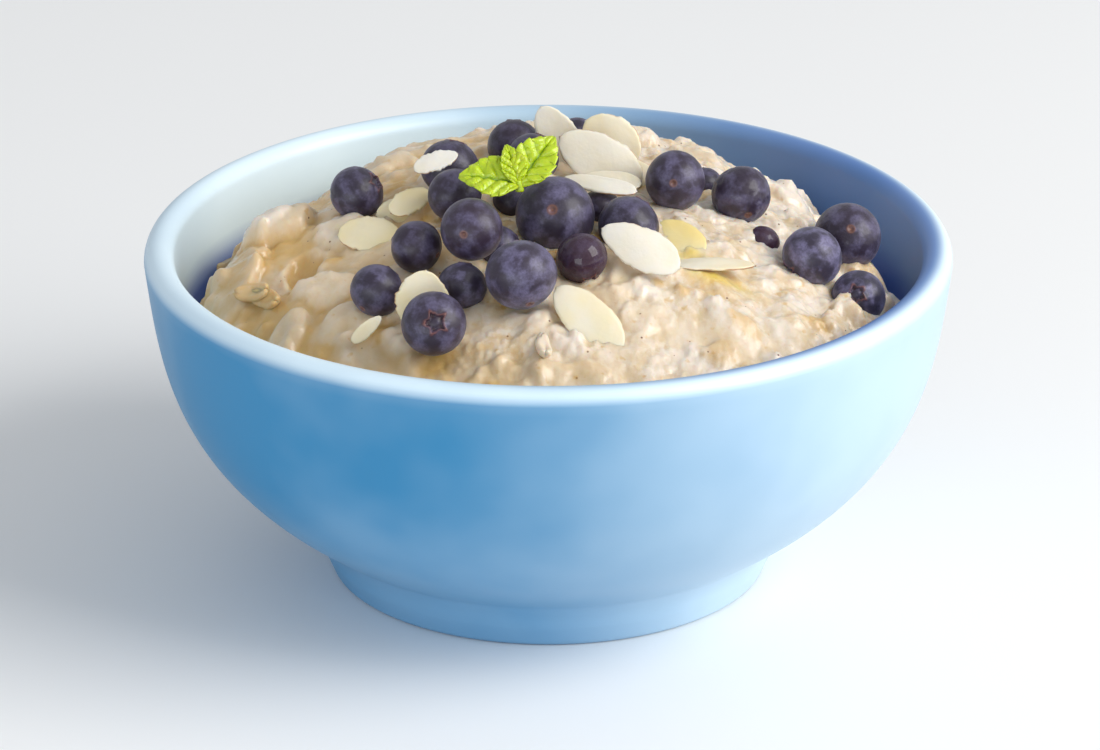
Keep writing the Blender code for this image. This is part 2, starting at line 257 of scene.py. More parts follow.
class BowlSettings(bpy.types.PropertyGroup):
    """Sizes and colours of the glazed bowl."""

    rim_radius: length("Rim radius", "Outer radius of the lip", RIM_RADIUS)
    height: length("Height", "Height of the lip over the table", RIM_HEIGHT)
    lip_radius: length("Lip radius", "Rounding of the lip, half the wall there", 3 * MM)
    foot_radius: length("Foot radius", "Outer radius of the foot ring at the table", 43.3 * MM)
    foot_height: length("Foot height", "Height of the crease over the foot", 10 * MM)
    crease_radius: length("Crease radius", "Radius where the body meets the foot", 47.6 * MM)
    glaze: colour("Glaze", "Main colour of the glaze", (0.010, 0.205, 0.43))
    # Thin glaze: the pale glaze over the lip, and also painted light on the bowl's lit side and low
    # outside.
    thin_glaze: colour("Thin glaze", "Colour where the glaze is thinnest", (0.72, 0.87, 0.97))
    # Deep glaze: painted shade inside, deep down by the porridge and on the wall turned away from the
    # key light.
    deep_glaze: colour("Deep glaze", "Colour where the glaze pools inside", (0.045, 0.12, 0.50))
    roughness: share("Glaze roughness", "Roughness of the glaze", 0.5)


class PorridgeSettings(bpy.types.PropertyGroup):
    """Sizes and colours of the porridge and its oats."""

    lump: length("Lump height", "Height of the soft lumps", 0.8 * MM)
    pressed_oats: IntProperty(
        name="Pressed oats", description="Oat flakes sunk in the surface", default=800, min=0
    )
    oat_thickness: length("Oat thickness", "Thickness of the standing oats", 1.3 * MM)
    paste: colour("Paste", "Colour of the smooth paste", (0.71, 0.56, 0.37))
    pale: colour("Pale grain", "Colour of the milky grain", (0.79, 0.70, 0.60))
    tan: colour("Tan oats", "Colour of the darkest oat flakes", (0.62, 0.38, 0.10))
    syrup: colour("Syrup", "Colour of the yellow wet patches", (0.78, 0.60, 0.12))
    roughness: share("Roughness", "Roughness of the moist surface", 0.42)


class BerrySettings(bpy.types.PropertyGroup):
    """Colours of the blueberries."""

    skin: colour("Skin", "Dark blue skin", (0.010, 0.008, 0.024))
    bloom: colour("Bloom", "Dusty bloom on the skin", (0.20, 0.18, 0.33))
    scar: colour("Scar", "Dry rim of crown and stem scar", (0.20, 0.06, 0.04))
    roughness: share("Roughness", "Roughness of the dusty skin", 0.5)


class AlmondSettings(bpy.types.PropertyGroup):
    """Sizes and colours of the almond flakes."""

    thickness: length("Thickness", "Thickness of a flake", 0.6 * MM)
    cream: colour("Cream", "Whitest flesh", (0.78, 0.745, 0.69))
    yellow: colour("Yellow", "Soaked, yellow flesh", (0.82, 0.65, 0.26))
    skin: colour("Skin", "Strip of brown skin on the edge", (0.42, 0.20, 0.09))


class MintSettings(bpy.types.PropertyGroup):
    """Sizes and colours of the mint."""

    thickness: length("Thickness", "Thickness of a leaf", 0.35 * MM)
    quilting: length("Quilting", "Height of the bulges between the veins", 0.75 * MM)
    light: colour("Light green", "Bulges between the veins", (0.50, 0.64, 0.01))
    # Dark green: painted shade in the grooves between the bulges and along the midrib.
    dark: colour("Dark green", "Grooves along the veins", (0.13, 0.32, 0.01))


class StageSettings(bpy.types.PropertyGroup):
    """Floor, light and camera."""

    floor: length("Floor size", "Side of the floor", 8.0)
    key: FloatProperty(
        name="Key light", description="Strength of the big soft light", default=19.5, unit="POWER"
    )
    fill: FloatProperty(
        name="Fill light", description="Strength of the light opposite", default=5.5, unit="POWER"
    )
    sky: FloatProperty(name="Sky", description="Strength of the even light", default=0.56)
    distance: length("Camera distance", "From the camera to the middle of the rim", 1.314)
    rise: bearing("Camera rise", "Angle of the camera over the rim", 21.15)
    aim: bearing("Camera aim", "Angle that the camera looks down", 22.32643)
    aside: length("Camera aside", "How far right of the middle the camera stands", 0.3168 * MM)
    lens: FloatProperty(
        name="Lens", description="Focal length in millimetres", default=217.2221, unit="CAMERA"
    )


def settings():
    return bpy.context.scene.porridge_bowl


# ---------------------------------------------------------------- materials


def new_finish(name, roughness, base=None):
    """A material, its node tree and its shader."""
    material = bpy.data.materials.new(name)
    material.use_nodes = True
    tree = material.node_tree
    shader = tree.nodes["Principled BSDF"]
    shader.inputs["Roughness"].default_value = roughness
    if base is not None:
        shader.inputs["Base Color"].default_value = (*base, 1)
    return material, tree, shader


def add_node(tree, kind, inputs=None, **options):
    """A node with its options set, and its inputs linked or set to plain values."""
    node = tree.nodes.new(kind)
    for option, value in options.items():
        setattr(node, option, value)
    for socket, value in (inputs or {}).items():
        if isinstance(value, bpy.types.NodeSocket):
            tree.links.new(value, node.inputs[socket])
        else:
            node.inputs[socket].default_value = value
    return node


def on_piece(tree):
    """Coordinates that stay with the piece, in metres."""
    return add_node(tree, "ShaderNodeTexCoord").outputs["Object"]


def grain(tree, place, size, seed=0.0, detail=2.0, rough=0.5):
    """Noise from 0 to 1 with spots of about this size."""
    options = {"Vector": place, "W": seed, "Scale": 0.6 / size, "Detail": detail, "Roughness": rough}
    return add_node(tree, "ShaderNodeTexNoise", options, noise_dimensions="4D").outputs["Fac"]


def between(tree, value, low, high, first=0.0, last=1.0):
    """Value stretched so that low to high becomes first to last, and held there."""
    ends = {"Value": value, "From Min": low, "From Max": high, "To Min": first, "To Max": last}
    return add_node(tree, "ShaderNodeMapRange", ends, interpolation_type="SMOOTHSTEP").outputs[0]


def sums(tree, kind, first, second):
    """A sum of one step, such as ADD or MULTIPLY, held between 0 and 1."""
    node = add_node(tree, "ShaderNodeMath", {0: first, 1: second}, operation=kind, use_clamp=True)
    return node.outputs[0]


def blended(tree, amount, under, over):
    """Colour over laid on colour under by the amount."""
    node = add_node(tree, "ShaderNodeMix", {0: amount}, data_type="RGBA")
    for socket, value in ((6, under), (7, over)):
        if isinstance(value, bpy.types.NodeSocket):
            tree.links.new(value, node.inputs[socket])
        else:
            node.inputs[socket].default_value = (*value, 1)
    return node.outputs[2]


def on_points(tree, name):
    """A value that the piece's mesh holds on its points."""
    return add_node(tree, "ShaderNodeAttribute", attribute_name=name).outputs["Fac"]


def emboss(tree, shader, height, depth, under=None):
    """Fine relief of this depth in metres, over any relief that is already there."""
    inputs = {"Height": height, "Distance": depth, "Strength": 1.0}
    if under is not None:
        inputs["Normal"] = under
    bump = add_node(tree, "ShaderNodeBump", inputs)
    tree.links.new(bump.outputs[0], shader.inputs["Normal"])
    return bump.outputs[0]


def tint(tree, shader, base):
    tree.links.new(base, shader.inputs["Base Color"])


def soften(shader, weight, radius, scale):
    """Lets light sink in and spread."""
    shader.inputs["Subsurface Weight"].default_value = weight
    shader.inputs["Subsurface Radius"].default_value = radius
    shader.inputs["Subsurface Scale"].default_value = scale


def varnish(shader, weight, roughness):
    """A clear wet or glazed film over the surface."""
    shader.inputs["Coat Weight"].default_value = weight
    shader.inputs["Coat Roughness"].default_value = roughness


# ---------------------------------------------------------------- meshes


def new_piece(name, points, faces, material, node, slot, values=None):
    """A smooth mesh piece that stands for a solid and rides with the bowl."""
    mesh = bpy.data.meshes.new(name)
    mesh.from_pydata(np.asarray(points).tolist(), [], faces)
    mesh.shade_smooth()
    for key, numbers in (values or {}).items():
        held = mesh.attributes.new(key, "FLOAT", "POINT")
        held.data.foreach_set("value", np.asarray(numbers, dtype=np.float32).ravel())
    piece = bpy.data.objects.new(name, mesh)
    bpy.context.scene.collection.objects.link(piece)
    mesh.materials.append(material)
    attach(piece, "root")
    if node:
        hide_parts(node)
    return piece


def lattice(rows, columns, wrap=False):
    """Quads over a grid of rows and columns of points, joined round if wrap."""
    faces = []
    across = columns if wrap else columns - 1
    for row in range(rows - 1):
        for column in range(across):
            after = (column + 1) % columns
            first = row * columns
            last = first + columns
            faces.append((first + column, first + after, last + after, last + column))
    return faces


def outline_of(rows, columns):
    """The corners round the edge of a grid of points, in order."""
    edge = list(range(columns))
    edge += [row * columns + columns - 1 for row in range(1, rows)]
    edge += [(rows - 1) * columns + column for column in range(columns - 2, -1, -1)]
    edge += [row * columns for row in range(rows - 2, 0, -1)]
    return edge


def capped_rings(rings, turns):
    """Faces round a stack of rings of points, closed at both ends."""
    faces = [tuple(reversed(face)) for face in lattice(rings, turns, wrap=True)]
    faces.append(tuple(range(turns)))
    last = (rings - 1) * turns
    faces.append(tuple(reversed(range(last, last + turns))))
    return faces


def gathered(bodies):
    """Points and faces of several bodies as one mesh."""
    points, faces, count = [], [], 0
    for body, quads in bodies:
        points.append(body)
        faces += [tuple(count + corner for corner in quad) for quad in quads]
        count += len(body)
    return np.vstack(points), faces


def turned(turn, rise, roll):
    """The matrix that rolls a body on +X, raises its end and turns it, in degrees."""
    aim = Matrix.Rotation(math.radians(turn), 3, "Z") @ Matrix.Rotation(math.radians(-rise), 3, "Y")
    return np.array(aim @ Matrix.Rotation(math.radians(roll), 3, "X"))


def shell(points, rows, columns, thickness):
    """A closed thin body round a grid of points: points, faces, and 1 on its rim's points."""
    grid = np.asarray(points).reshape(rows, columns, 3)
    along = np.gradient(grid, axis=0)
    across = np.gradient(grid, axis=1)
    normal = np.cross(across, along)
    normal /= np.linalg.norm(normal, axis=2, keepdims=True) + 1e-12
    row_share = np.linspace(-1, 1, rows)[:, None]
    column_share = np.linspace(-1, 1, columns)[None, :]
    inward = 1 - np.maximum(np.abs(row_share), np.abs(column_share))
    half = thickness / 2 * np.sqrt(np.clip(inward * 9, 0.12, 1))[..., None]
    top = (grid + normal * half).reshape(-1, 3)
    under = (grid - normal * half).reshape(-1, 3)
    count = rows * columns
    faces = lattice(rows, columns)
    faces += [tuple(reversed([corner + count for corner in face])) for face in faces]
    edge = outline_of(rows, columns)
    for first, second in zip(edge, edge[1:] + edge[:1]):
        faces.append((second, first, first + count, second + count))
    rim = np.clip(1 - inward * 7, 0, 1).reshape(-1)
    return np.vstack([top, under]), faces, np.concatenate([rim, rim])


# ---------------------------------------------------------------- bowl


def outer_radius(bowl, height):
    top = bowl.height - bowl.lip_radius
    down = (top - height) / (top - bowl.foot_height)
    belly = bowl.rim_radius - bowl.crease_radius - OUTER_LEAN
    return bowl.rim_radius - OUTER_LEAN * down - belly * down**OUTER_TURN


def inner_radius(bowl, height):
    top = bowl.height - bowl.lip_radius
    lip = bowl.rim_radius - 2 * bowl.lip_radius
    down = min(max((top - height) / (top - FLOOR_HEIGHT), 0), 1)
    return lip - INNER_LEAN * down - (lip - FLOOR_RADIUS) * down**INNER_TURN


def bowl_outline(bowl):
    """Radius and height of points from the middle of the inside, over the lip, to the underside."""
    top = bowl.height - bowl.lip_radius
    points = []
    for step in range(FLOOR_STEPS):
        points.append((FLOOR_MIDDLE * (step + 0.05) / FLOOR_STEPS, FLOOR_HEIGHT))
    for step in range(INNER_STEPS):
        height = FLOOR_HEIGHT + (top - FLOOR_HEIGHT) * (step / INNER_STEPS) ** 1.6
        points.append((inner_radius(bowl, height), height))
    middle = bowl.rim_radius - bowl.lip_radius
    for step in range(LIP_STEPS + 1):
        angle = math.pi * (1 - step / LIP_STEPS)
        across, up = bowl.lip_radius * math.cos(angle), bowl.lip_radius * math.sin(angle)
        points.append((middle + across, top + up))
    for step in range(1, OUTER_STEPS + 1):
        height = top + (bowl.foot_height - top) * (step / OUTER_STEPS) ** 0.85
        points.append((outer_radius(bowl, height), height))
    foot, crease = bowl.foot_radius, bowl.crease_radius
    for step in range(1, FOOT_STEPS + 1):
        down = step / FOOT_STEPS
        flare = crease + (foot + FOOT_FLARE - crease) * down
        hollow = FOOT_HOLLOW * math.sin(math.pi * min(down * 1.6, 1))
        height = bowl.foot_height + (FOOT_EDGE - bowl.foot_height) * down
        points.append((flare - hollow, height))
    for step in range(1, EDGE_STEPS + 1):
        angle = math.radians(90 * step / EDGE_STEPS)
        across, up = FOOT_EDGE * math.cos(angle), FOOT_EDGE * (1 - math.sin(angle))
        points.append((foot - 0.9 * MM + across, up))
    inside = foot - FOOT_WIDTH
    points += [
        (foot - 3 * MM, 0),
        (inside + 1 * MM, 0),
        (inside, 0.4 * MM),
        (inside - 0.6 * MM, 2 * MM),
        (inside - 1.6 * MM, 3.6 * MM),
        (inside - 3 * MM, 4 * MM),
        (20 * MM, RECESS_HEIGHT),
        (1.0 * MM, RECESS_HEIGHT),
    ]
    return points


def smooth_step(value):
    value = np.clip(value, 0, 1)
    return value * value * (3 - 2 * value)


def glaze_finish(bowl):
    material, tree, shader = new_finish("blue_glaze", bowl.roughness)
    place = on_piece(tree)
    cloud = between(tree, grain(tree, place, 26 * MM, 3, 3), 0.35, 0.7, -0.05, 0.08)
    # Pale glaze where it is thin, and painted light on the side of the bowl that faces the key light.
    thin_and_lit = add_node(tree, "ShaderNodeMath", {0: on_points(tree, "thin_and_lit"), 1: cloud}, use_clamp=True)
    base = blended(tree, thin_and_lit.outputs[0], bowl.glaze, bowl.thin_glaze)
    # Darker glaze inside: painted shade.
    tint(tree, shader, blended(tree, on_points(tree, "painted_inner_shade"), base, bowl.deep_glaze))
    ripple = grain(tree, place, 9 * MM, 5, 1)
    emboss(tree, shader, ripple, 0.10 * MM)
    varnish(shader, 0.25, 0.2)
    return material


def glaze_marks(bowl, outline, around):
    """How pale the glaze is on each point of the bowl: thin glaze over the lip, and painted light on
    the side towards the key light and low outside; and how much painted shade it takes inside.
    """
    sideways = np.cos(around)
    first_outer = FLOOR_STEPS + INNER_STEPS + LIP_STEPS + 1
    thin_and_lit, painted_inner_shade = [], []
    for step, (radius, height) in enumerate(outline):
        # 1 on the inner wall, falling to 0 over the lip.
        inside = 1 - smooth_step((radius - bowl.rim_radius + 4 * MM) / (3 * MM))
        inside = inside if step < first_outer else 0
        lip = smooth_step((height - bowl.height + 3.4 * MM) / (2.6 * MM))
        # Outside: paler towards +X, where the key light falls: painted light.
        outer = 0.02 + 0.60 * smooth_step((sideways + 0.42) / 1.45)
        # Paler low on the body: painted light from the floor.
        outer = outer + 0.10 * smooth_step((50 * MM - height) / (40 * MM))
        # Paler over the lip, where the glaze runs thin.
        outer = outer + (1.0 - outer) * lip * 0.85
        # Inside: paler towards -X, on the wall that faces the key light: painted light.
        inner = 0.96 - 0.74 * smooth_step((sideways + 0.75) / 1.5)
        thin_and_lit.append(outer + (inner - outer) * inside)
        # Darker deep down by the porridge and on the inner wall towards +X, away from the key light:
        # painted shade.
        depth = smooth_step((bowl.height - 11 * MM - height) / (7 * MM))
        shade = 0.6 * smooth_step((sideways + 0.1) / 0.9) * inside
        painted_inner_shade.append(shade + (1 - shade) * depth * inside)
    return {"thin_and_lit": np.array(thin_and_lit), "painted_inner_shade": np.array(painted_inner_shade)}


def add_glazed_bowl(bowl):
    outline = bowl_outline(bowl)
    around = np.linspace(0, 2 * math.pi, BOWL_TURNS, endpoint=False)
    rings = []
    for radius, height in outline:
        level = np.full(BOWL_TURNS, height)
        rings.append(np.stack([radius * np.cos(around), radius * np.sin(around), level], axis=1))
    faces = capped_rings(len(outline), BOWL_TURNS)
    marks = glaze_marks(bowl, outline, around)
    return new_piece(
        "glazed_bowl", np.vstack(rings), faces, glaze_finish(bowl), "bowl", "glaze", marks
    )


# ---------------------------------------------------------------- porridge


def solid_tree(names):
    """One tree of the faces of these solids, for finding their surface."""
    points, faces = [], []
    for name in names:
        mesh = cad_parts[name].data
        first = len(points)
        points += [tuple(point.co) for point in mesh.vertices]
        faces += [[first + corner for corner in face.vertices] for face in mesh.polygons]
    return BVHTree.FromPolygons(points, faces)


@functools.cache
def toppings_tree():
    return solid_tree(BERRY_NODES + ALMOND_NODES + ["mint_sprig"])


def blurred(field, size, cell=MAP_CELL):
    """The field with everything finer than about this size smoothed away."""
    wave_down = np.fft.fftfreq(field.shape[0], cell)[:, None]
    wave_across = np.fft.fftfreq(field.shape[1], cell)[None, :]
    soft = np.exp(-2 * (math.pi * size / 4) ** 2 * (wave_down**2 + wave_across**2))
    return np.fft.ifft2(np.fft.fft2(field) * soft).real


@functools.cache
def uneven(size, seed):
    """A smooth random field over the map, with bumps of this size and a spread of one."""
    white = np.random.default_rng(seed).standard_normal((MAP_STEPS, MAP_STEPS))
    field = blurred(white, size)
    return field / field.std()


def heap_base():
    """The heap's smooth level on the map: the solid's top with its hollows filled."""
    surface = solid_tree(["porridge"])
    toppings = toppings_tree()
    cell = 2 * MAP_HALF / (COARSE_STEPS - 1)
    ticks = np.linspace(-MAP_HALF, MAP_HALF, COARSE_STEPS)
    level = np.full((COARSE_STEPS, COARSE_STEPS), np.nan)
    down = Vector((0, 0, -1))
    for i, across in enumerate(ticks):
        for j, back in enumerate(ticks):
            if math.hypot(across, back) > HEAP_REACH:
                continue
            spot = surface.ray_cast(Vector((across, back, 0.2)), down)[0]
            if spot is None or spot.z < RIM_HEIGHT - HEAP_DROP:
                continue
            if toppings.find_nearest(spot)[3] < TOPPING_CLEARANCE:
                continue
            level[i, j] = spot.z
    known = ~np.isnan(level)
    filled = np.where(known, level, np.nanmean(level))
    for _ in range(FILL_ROUNDS):
        around = sum(np.roll(filled, *turn) for turn in ((1, 0), (-1, 0), (1, 1), (-1, 1))) / 4
        filled = np.where(known, level, around)
    filled = blurred(filled, 3.0 * MM, cell)
    fine = np.linspace(-MAP_HALF, MAP_HALF, MAP_STEPS)
    rows = np.array([np.interp(fine, ticks, row) for row in filled])
    whole = np.array([np.interp(fine, ticks, column) for column in rows.T]).T
    return blurred(whole, 1.6 * MM)


def window(spot, reach):
    """The slice of the map within reach of a spot, and the places in it from the spot."""
    first = [int((part - reach + MAP_HALF) / MAP_CELL) for part in spot]
    last = [int((part + reach + MAP_HALF) / MAP_CELL) + 1 for part in spot]
    first = [min(max(step, 0), MAP_STEPS - 2) for step in first]
    last = [min(max(step, step_low + 2), MAP_STEPS) for step, step_low in zip(last, first)]
    across = (np.arange(first[0], last[0]) * MAP_CELL - MAP_HALF - spot[0])[:, None]
    back = (np.arange(first[1], last[1]) * MAP_CELL - MAP_HALF - spot[1])[None, :]
    return (slice(first[0], last[0]), slice(first[1], last[1])), across, back


def turned_to(across, back, turn, size):
    """Places along and beside a turned oval, as shares of its half sizes."""
    along = (across * math.cos(turn) + back * math.sin(turn)) / size[0]
    side = (-across * math.sin(turn) + back * math.cos(turn)) / size[1]
    return along, side


def press(level, tone, spot, size, turn, tilt, lift, shade, phase):
    """Sinks one soft oat flake into the map, where it stands over what is there already."""
    part, across, back = window(spot, size[0] * 1.3)
    along, side = turned_to(across, back, turn, size)
    out = np.sqrt(along**2 + side**2) / (1 + 0.10 * np.sin(3 * np.arctan2(side, along) + phase))
    ground = float(read_map(level, *spot))
    flake = ground + lift + tilt[0] * across + tilt[1] * back
    flake = flake - 0.35 * MM * out**2 - 3.0 * MM * np.clip(out - 0.8, 0, 1) ** 1.5
    patch = level[part]
    over = (flake > patch) & (out < 1.25)
    patch[over] = flake[over]
    tone[part][over] = shade


def add_lobe(level, tone, row):
    """Raises a soft lobe of paste, or sinks a hollow."""
    across_mm, back_mm, long, wide, turn, height, edge, shade = row
    spot = (across_mm * MM, back_mm * MM)
    part, across, back = window(spot, long * MM * 1.2)
    along, side = turned_to(across, back, math.radians(turn), (long * MM, wide * MM))
    ragged = 1 + 0.10 * uneven(7 * MM, 31)[part] + 0.05 * uneven(3 * MM, 32)[part]
    out = np.sqrt(along**2 + side**2) / ragged
    dome = np.sqrt(np.clip(1 - np.clip(out, 0, 1) ** edge, 0, 1))
    level[part] += height * MM * dome
    tone[part] += (shade - tone[part]) * np.clip(dome * 1.4, 0, 1)


@functools.cache
def heap():
    """Maps of the porridge's level, of its tone, with painted shade in the hollows, and of its pale
    grain.
    """
    porridge = settings().porridge
    rng = np.random.default_rng(7)
    ticks = np.linspace(-MAP_HALF, MAP_HALF, MAP_STEPS)
    across, back = np.meshgrid(ticks, ticks, indexing="ij")
    outer = smooth_step((np.hypot(across, back) - 54 * MM) / (16 * MM))
    # Soft lumps over the solid's level, then the oats, each on what is there before it.
    level = heap_base()
    level += porridge.lump * (0.5 * uneven(15 * MM, 1) + 0.9 * (np.abs(uneven(11 * MM, 2)) - 0.8))
    tone = 0.42 + 0.13 * uneven(10 * MM, 3) - 0.24 * np.clip(across / (50 * MM), -1, 1)
    tone += 0.14 * outer
    grainy = 0.42 + 0.30 * uneven(14 * MM, 4) + 0.45 * np.clip(across / (35 * MM), -1, 1)
    grainy = np.clip(grainy, 0, 1)
    for _ in range(porridge.pressed_oats):
        radius = 73 * MM * math.sqrt(rng.random())
        angle = 2 * math.pi * rng.random()
        half = (1.5 + 1.7 * rng.random()) * MM
        size = (half, half * (0.5 + 0.3 * rng.random()))
        tilt = rng.normal(0, 0.15, 2)
        lift = rng.normal(0.08, 0.22) * MM
        spot = (radius * math.cos(angle), radius * math.sin(angle))
        shade = float(np.clip(read_map(tone, *spot) + rng.normal(0.06, 0.2), 0, 1))
        press(level, tone, spot, size, math.pi * rng.random(), tilt, lift, shade, 6 * rng.random())
    # Smooth paste where it isn't grainy, then the lobes and the finest relief.
    level = blurred(level, 2.6 * MM) * (1 - grainy) + blurred(level, 1.1 * MM) * grainy
    for row in LOBES:
        add_lobe(level, tone, row)
    level += 0.22 * MM * uneven(4.5 * MM, 6)
    level += 0.30 * MM * (0.4 + 0.6 * grainy) * np.abs(uneven(1.8 * MM, 5))
    level = blurred(level, 0.7 * MM)
    # Tone rises in the hollows and falls on the rises: the hollows go tan and the rises pale, painted
    # shade and painted light.
    hollow = np.clip((blurred(level, 7 * MM) - level) / (0.6 * MM), -1, 1)
    tone = np.clip(blurred(tone, 1.3 * MM) + 0.14 * hollow, 0, 1)
    wet = np.zeros_like(level)
    for across_mm, back_mm, long, wide in WET_PATCHES:
        out = ((across / MM - across_mm) / long) ** 2 + ((back / MM - back_mm) / wide) ** 2
        wet = np.maximum(wet, np.exp(-out) * (0.75 + 0.2 * uneven(3 * MM, 32)))
    return {"level": level, "tone": tone, "grainy": grainy, "wet": np.clip(wet, 0, 1)}


def read_map(field, across, back):
    """The map's value at places in metres."""
    column = np.clip((np.asarray(across) + MAP_HALF) / MAP_CELL, 0, MAP_STEPS - 1.001)
    row = np.clip((np.asarray(back) + MAP_HALF) / MAP_CELL, 0, MAP_STEPS - 1.001)
    i, j = column.astype(int), row.astype(int)
    u, v = column - i, row - j
    low = field[i, j] * (1 - u) + field[i + 1, j] * u
    high = field[i, j + 1] * (1 - u) + field[i + 1, j + 1] * u
    return low * (1 - v) + high * v


def disc_grid(steps, radius):
    """An even grid of points over a disc."""
    ticks = np.linspace(-1, 1, steps)
    first, second = np.meshgrid(ticks, ticks, indexing="ij")
    wide = np.abs(first) > np.abs(second)
    safe_first = np.where(first == 0, 1, first)
    safe_second = np.where(second == 0, 1, second)
    reach = np.where(wide, first, second)
    angle = np.where(
        wide, math.pi / 4 * second / safe_first, math.pi / 2 - math.pi / 4 * first / safe_second
    )
    return radius * reach * np.cos(angle), radius * reach * np.sin(angle)


def paste_colour(tree, porridge, tone):
    """Pale, plain or tan paste by its tone: the paler two, and how much tan goes over them."""
    base = blended(tree, between(tree, tone, 0.0, 0.42), porridge.pale, porridge.paste)
    return base, between(tree, tone, 0.36, 0.95, 0, 0.85)


def porridge_finish(porridge):
    material, tree, shader = new_finish("moist_porridge", porridge.roughness)
    place = on_piece(tree)
    tone = on_points(tree, "tone")
    grainy = on_points(tree, "grainy")
    milky = between(tree, grain(tree, place, 1.6 * MM, 1, 4, 0.65), 0.42, 0.62)
    milky = sums(tree, "MULTIPLY", milky, between(tree, grainy, 0.2, 0.9, 0.25, 0.95))
    base, tanned = paste_colour(tree, porridge, tone)
    base = blended(tree, sums(tree, "MULTIPLY", milky, 0.9), base, porridge.pale)
    base = blended(tree, tanned, base, porridge.tan)
    specks = {"Vector": place, "Scale": 1 / (2.6 * MM), "Randomness": 1.0}
    speck = add_node(tree, "ShaderNodeTexVoronoi", specks)
    dot = between(tree, speck.outputs["Distance"], 0.05, 0.11, 1, 0)
    rare = between(tree, grain(tree, place, 6 * MM, 8, 1), 0.46, 0.56)
    base = blended(tree, sums(tree, "MULTIPLY", dot, rare), base, (0.20, 0.09, 0.04))
    fleck = between(tree, grain(tree, place, 1.3 * MM, 11, 2), 0.62, 0.74, 0, 0.55)
    base = blended(tree, fleck, base, porridge.tan)
    base = blended(tree, on_points(tree, "wet"), base, porridge.syrup)
    tint(tree, shader, base)
    fine = grain(tree, place, 0.9 * MM, 2, 3, 0.55)
    fine = sums(tree, "MULTIPLY", fine, between(tree, grainy, 0.2, 0.9, 0.55, 1.0))
    first = emboss(tree, shader, fine, 0.32 * MM)
    coarse = grain(tree, place, 1.9 * MM, 6, 2)
    emboss(tree, shader, coarse, 0.25 * MM, first)
    soften(shader, 0.9, (1.0, 0.7, 0.45), 1.8 * MM)
    varnish(shader, 0.6, 0.16)
    return material


def add_porridge_top(bowl, porridge):
    """The heap's surface, closed below by a skirt inside the bowl."""
    steps = HEAP_STEPS
    maps = heap()
    radius = inner_radius(bowl, bowl.height - HEAP_EDGE_DROP) + 0.2 * MM
    across, back = disc_grid(steps, radius)
    level = read_map(maps["level"], across, back)
    points = np.stack([across, back, level], axis=2).reshape(-1, 3)
    tone = read_map(maps["tone"], across, back).ravel()
    grainy = read_map(maps["grainy"], across, back).ravel()
    wet = read_map(maps["wet"], across, back).ravel()
    faces = lattice(steps, steps)
    edge = outline_of(steps, steps)
    ring = edge
    points = [points]
    count = steps * steps
    for height in SKIRT_HEIGHTS:
        below = points[0][edge].copy()
        below[:, :2] *= (inner_radius(bowl, height) - SKIRT_GAP) / radius
        below[:, 2] = height
        points.append(below)
        following = list(range(count, count + len(edge)))
        for first in range(len(edge)):
            after = (first + 1) % len(edge)
            faces.append((ring[after], ring[first], following[first], following[after]))
        ring = following
        count += len(edge)
    faces.append(tuple(ring))
    extra = len(SKIRT_HEIGHTS) * len(edge)
    values = {
        "tone": np.concatenate([tone, np.full(extra, 0.4)]),
        "grainy": np.concatenate([grainy, np.full(extra, 0.5)]),
        "wet": np.concatenate([wet, np.zeros(extra)]),
    }
    points = np.vstack(points)
    finish = porridge_finish(porridge)
    return new_piece("porridge_heap", points, faces, finish, "porridge", "porridge", values)


def oat_finish(porridge):
    material, tree, shader = new_finish("soaked_oats", porridge.roughness)
    place = on_piece(tree)
    tone = on_points(tree, "tone")
    base, tanned = paste_colour(tree, porridge, tone)
    base = blended(tree, tanned, base, porridge.tan)
    streak = grain(tree, place, 0.9 * MM, 4, 3)
    base = blended(tree, between(tree, streak, 0.5, 0.75, 0, 0.2), base, porridge.pale)
    tint(tree, shader, base)
    emboss(tree, shader, streak, 0.15 * MM)
    soften(shader, 0.7, (1.0, 0.65, 0.35), 1.4 * MM)
    varnish(shader, 0.3, 0.25)
    return material


def oat_flake(half, wide, phase, thickness):
    """One plump soaked oat flake, lying flat: points and faces."""
    rows, columns = OAT_GRID
    along = np.linspace(-1, 1, rows)[:, None]
    side = np.linspace(-1, 1, columns)[None, :]
    rounded = np.sqrt(1 - np.clip(np.abs(along), 0, 0.985) ** 2.4)
    wobble = 1 + 0.07 * np.sin(5 * along + phase) * np.sign(side)
    x = half * along + 0 * side
    y = wide * rounded * side * wobble
    z = 1.1 * MM * (along**2 + 0.6 * side**2) + 0.18 * MM * np.sin(3 * side + 2 * along + phase)
    return shell(np.stack([x, y, z], axis=2), rows, columns, thickness)[:2]


def add_standing_oats(porridge):
    """Soaked oat flakes that stand out of the paste, as one mesh."""
    bodies, tones = [], []
    for across, back, half, wide, turn, tip, lean, tone in STANDING_OATS:
        body, quads = oat_flake(half * MM, wide * MM, 50 * across, porridge.oat_thickness)
        level = float(read_map(heap()["level"], across * MM, back * MM)) + 0.3 * MM
        body = body @ turned(turn, tip, lean).T + np.array([across * MM, back * MM, level])
        bodies.append((body, quads))
        tones.append(np.full(len(body), tone))
    values = {"tone": np.concatenate(tones)}
    return new_piece("soaked_oats", *gathered(bodies), oat_finish(porridge), None, "porridge", values)


# ---------------------------------------------------------------- blueberries


def berry_place(name):
    """Centre, radius and crown axis of a berry, from its solid's pit and opposite pole."""
    points = np.array([tuple(point.co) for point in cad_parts[name].data.vertices])
    middle = (points.min(0) + points.max(0)) / 2
    pit = points[np.linalg.norm(points - middle, axis=1).argmin()]
    pole = points[np.linalg.norm(points - pit, axis=1).argmax()]
    radius = np.linalg.norm(pit - pole) / PIT_TO_POLE
    axis = Vector(pit - pole).normalized()
    return Vector(pole) + axis * radius * BERRY_SQUASH, radius, axis


